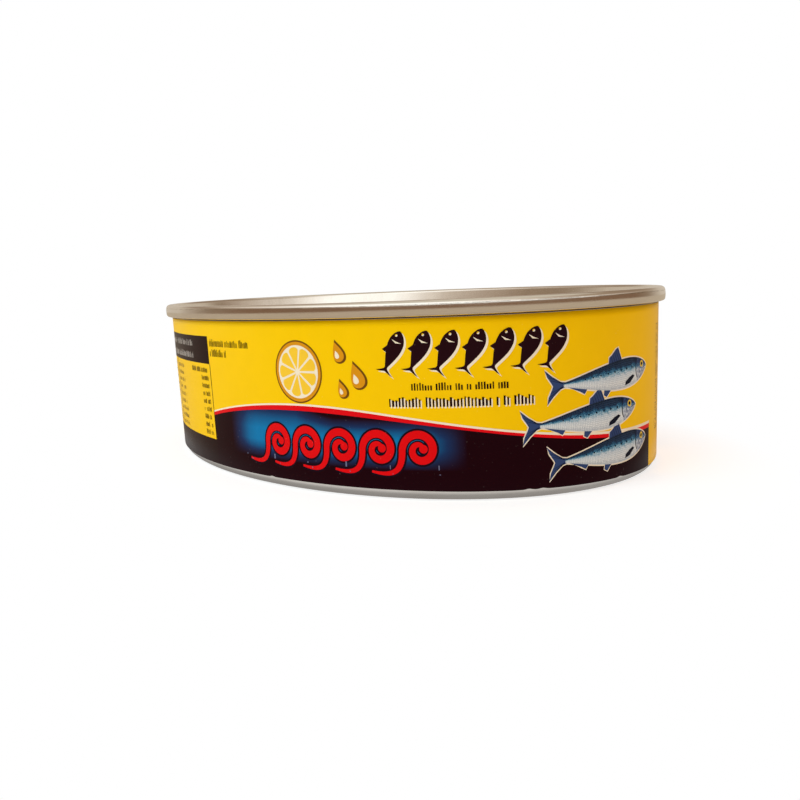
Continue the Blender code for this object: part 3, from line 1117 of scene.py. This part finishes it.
mouth_places = across(0.008, 0.075, 0.01)
mouth = curved_line(mouth_places, lambda share: (share, -0.05 - 2.4 * share), [0.07] * len(mouth_places))
spots = [disc(*on_fish(0.26 + 0.078 * number, 0.20), 0.24 - 0.012 * number, 14) for number in range(SPOTS)]
eye = on_fish(*EYE_PLACE)
printed("print_fish_edge", cream_ink, MOTIF_LIFT,
        on_each_fish([grown(fish_body, 0.26)] + [grown(fin, 0.22) for fin in outer_fins]))
printed("print_fish_fins", ink("fish_fin_print", (52, 70, 112)), MOTIF_LIFT + LAYER, on_each_fish(outer_fins))
printed("print_fish_sides", sardine_side_ink(), MOTIF_LIFT + 2 * LAYER, on_each_fish([fish_body]),
        chart=fish_chart)
printed("print_fish_marks", ink("fish_mark_print", (18, 22, 38)), MOTIF_LIFT + 3 * LAYER,
        on_each_fish(rays + spots + [gill, cheek, mouth, disc(*eye, PUPIL, 20), side_fin]))
printed("print_fish_eyes", ink("fish_eye_print", (226, 192, 60)), MOTIF_LIFT + 4 * LAYER,
        on_each_fish([disc(*eye, EYE_RADIUS, 28)]), on_each_fish([disc(*eye, GAP_RADIUS, 20)]))


# The studio
# A white floor and white surround, a cool soft light at the upper left of the camera and a small
# one low on the left. What the gloss mirrors is a warm room with a bright window high on the left.
CAMERA_PLACE = (208.93, -121.95, 43.0)
CAMERA_AZIMUTH = 59.36
CAMERA_ELEVATION = 7.64
CAMERA_ROLL = -2.65
CAMERA_LENS = 40.44
FLOOR_RADIUS = 1.4
FLOOR_REACH = 10.0
WINDOW_TURNS = (math.radians(-12.0), math.radians(50.0))
AIM = Vector((0.0, 0.0, 0.02))
WHITE = (1.0, 1.0, 1.0, 1.0)
camera_turn = math.radians(CAMERA_AZIMUTH)
toward_camera = Vector((math.sin(camera_turn), -math.cos(camera_turn), 0.0))
to_left = Vector((toward_camera.y, -toward_camera.x, 0.0))


def light_paths(tree):
    """Which kind of ray looks: the camera's, or a mirrored one."""
    path = add(tree, "ShaderNodeLightPath").outputs
    return Value(tree, path["Is Camera Ray"]), Value(tree, path["Is Glossy Ray"])


def shader_mix(factor, first, second):
    """A mix of two shaders by a factor."""
    return result(factor.tree, "ShaderNodeMixShader", {0: factor, 1: first, 2: second})


def studio_floor():
    """A round floor, white to the camera past the tin's shade, and to gloss a duller, warmer table with
    painted shade near the tin.
    """
    rim = disc(0.0, 0.0, FLOOR_RADIUS, 96)
    floor = piece_of("studio_floor", [(x, y, 0.0) for x, y in rim], [tuple(range(len(rim)))])
    material = bpy.data.materials.new("white_floor")
    material.use_nodes = True
    tree = material.node_tree
    shader = tree.nodes["Principled BSDF"]
    for label, value in (("Base Color", (0.93, 0.93, 0.93, 1.0)), ("Roughness", 0.9),
                         ("Emission Color", WHITE), ("Emission Strength", 0.5)):
        shader.inputs[label].default_value = value
    oval = stretched(result(tree, "ShaderNodeTexCoord", output="Object"),
                     (2 / (TIN_LENGTH * MM), 2 / (TIN_WIDTH * MM), 1.0))
    reach = result(tree, "ShaderNodeVectorMath", {0: oval}, "Value", operation="LENGTH") / FLOOR_REACH
    by_camera, by_gloss = light_paths(tree)
    # What gloss sees of the floor: a warm table with painted shade, darkest right under the tin's edge,
    # lighter just outside it and darker again in a ring a little further out.
    mirrored_table_painted_shade = ramp(reach, (0.096, (0.28, 0.265, 0.25)), (0.0985, (0.44, 0.42, 0.40)),
                (0.100, (0.64, 0.62, 0.59)), (0.104, (0.74, 0.715, 0.685)), (0.109, (0.62, 0.57, 0.51)),
                (0.120, (0.42, 0.33, 0.24)), (0.16, (0.52, 0.43, 0.325)), (0.19, (0.54, 0.45, 0.34)))
    table = result(tree, "ShaderNodeEmission", {"Color": mirrored_table_painted_shade, "Strength": 1.0})
    white = result(tree, "ShaderNodeEmission", {"Color": WHITE, "Strength": 1.0})
    far = by_camera * ramp(reach, (0.098, 0.4), (0.135, 1.0))
    faded = shader_mix(far, Value(tree, shader.outputs[0]), white)
    seen = shader_mix(by_gloss, faded, table)
    tree.links.new(seen.source, tree.nodes["Material Output"].inputs["Surface"])
    floor.data.materials.append(material)


def soft_light(name, place, size, power, colour=(1.0, 1.0, 1.0)):
    """A square soft light aimed at the tin, which gloss doesn't mirror."""
    lamp = bpy.data.lights.new(name, "AREA")
    lamp.size = size
    lamp.energy = power
    lamp.color = colour
    holder = bpy.data.objects.new(name, lamp)
    holder.location = place
    holder.visible_glossy = False
    holder.rotation_mode = "QUATERNION"
    holder.rotation_quaternion = (AIM - place).to_track_quat("-Z", "Y")
    bpy.context.scene.collection.objects.link(holder)


def room_light():
    """White to the camera, a warm glow from above to the tin, and a room with a window to gloss."""
    world = bpy.data.worlds.new("studio_room")
    world.use_nodes = True
    tree = world.node_tree
    tree.nodes.clear()
    way = result(tree, "ShaderNodeTexCoord", output="Generated")
    upward = split_xyz(way)[2] * 0.5 + 0.5
    shares = []
    for turn in (*WINDOW_TURNS, math.pi):
        side = (toward_camera * math.cos(turn) + to_left * math.sin(turn)).normalized()
        facing = result(tree, "ShaderNodeVectorMath", {0: way, 1: side}, "Value", operation="DOT_PRODUCT")
        shares.append(facing * 0.5 + 0.5)
    low_window, high_window, behind = shares
    low = ramp(behind, (0.60, (0.24, 0.145, 0.09)), (0.74, (0.31, 0.23, 0.16)), (0.88, (0.64, 0.56, 0.46)))
    climbed = ramp(upward, (0.67, 0.0), (0.75, 1.0))
    window_share = high_window * climbed + low_window * (1.0 - climbed)
    high = ramp(window_share, (0.10, (0.34, 0.25, 0.18)), (0.27, (0.43, 0.34, 0.25)),
                (0.45, (0.54, 0.45, 0.37)), (0.58, (0.66, 0.57, 0.48)), (0.67, (0.88, 0.81, 0.73)),
                (0.76, (1.15, 1.1, 1.05)), (0.84, (1.4, 1.45, 1.45)))
    raised = mixed(ramp(upward, (0.618, 0.0), (0.668, 1.0)), low, high)
    mirrored = mixed(ramp(upward, (0.86, 0.0), (0.93, 1.0)), raised, (0.72, 0.67, 0.58, 1.0))
    soft = ramp(upward, (0.5, (0.33, 0.225, 0.175)), (1.0, (0.65, 0.45, 0.36)))
    by_camera, by_gloss = light_paths(tree)
    room = result(tree, "ShaderNodeBackground", {"Color": mixed(by_gloss, soft, mirrored), "Strength": 1.0})
    plain = result(tree, "ShaderNodeBackground", {"Color": WHITE, "Strength": 1.0})
    add(tree, "ShaderNodeOutputWorld", {"Surface": shader_mix(by_camera, room, plain)})
    bpy.context.scene.world = world


studio_floor()
room_light()
key_place = toward_camera * 0.42 + to_left * 0.50 + Vector((0.0, 0.0, 0.50))
left_place = to_left * 0.50 - toward_camera * 0.22 + Vector((0.0, 0.0, 0.14))
soft_light("soft_key", key_place, 0.5, 2.9, (0.56, 0.88, 1.0))
soft_light("soft_left", left_place, 0.25, 0.35)
camera_data = bpy.data.cameras.new("camera")
camera_data.lens = CAMERA_LENS
camera_data.sensor_width = 36.0
camera_data.clip_start = 0.01
camera = bpy.data.objects.new("camera", camera_data)
bpy.context.scene.collection.objects.link(camera)
camera.matrix_world = (Matrix.Translation(Vector(CAMERA_PLACE) * MM)
                       @ Matrix.Rotation(camera_turn, 4, "Z")
                       @ Matrix.Rotation(math.radians(90.0 - CAMERA_ELEVATION), 4, "X")
                       @ Matrix.Rotation(math.radians(CAMERA_ROLL), 4, "Z"))
bpy.context.scene.camera = camera
bpy.context.scene.view_settings.view_transform = "Standard"
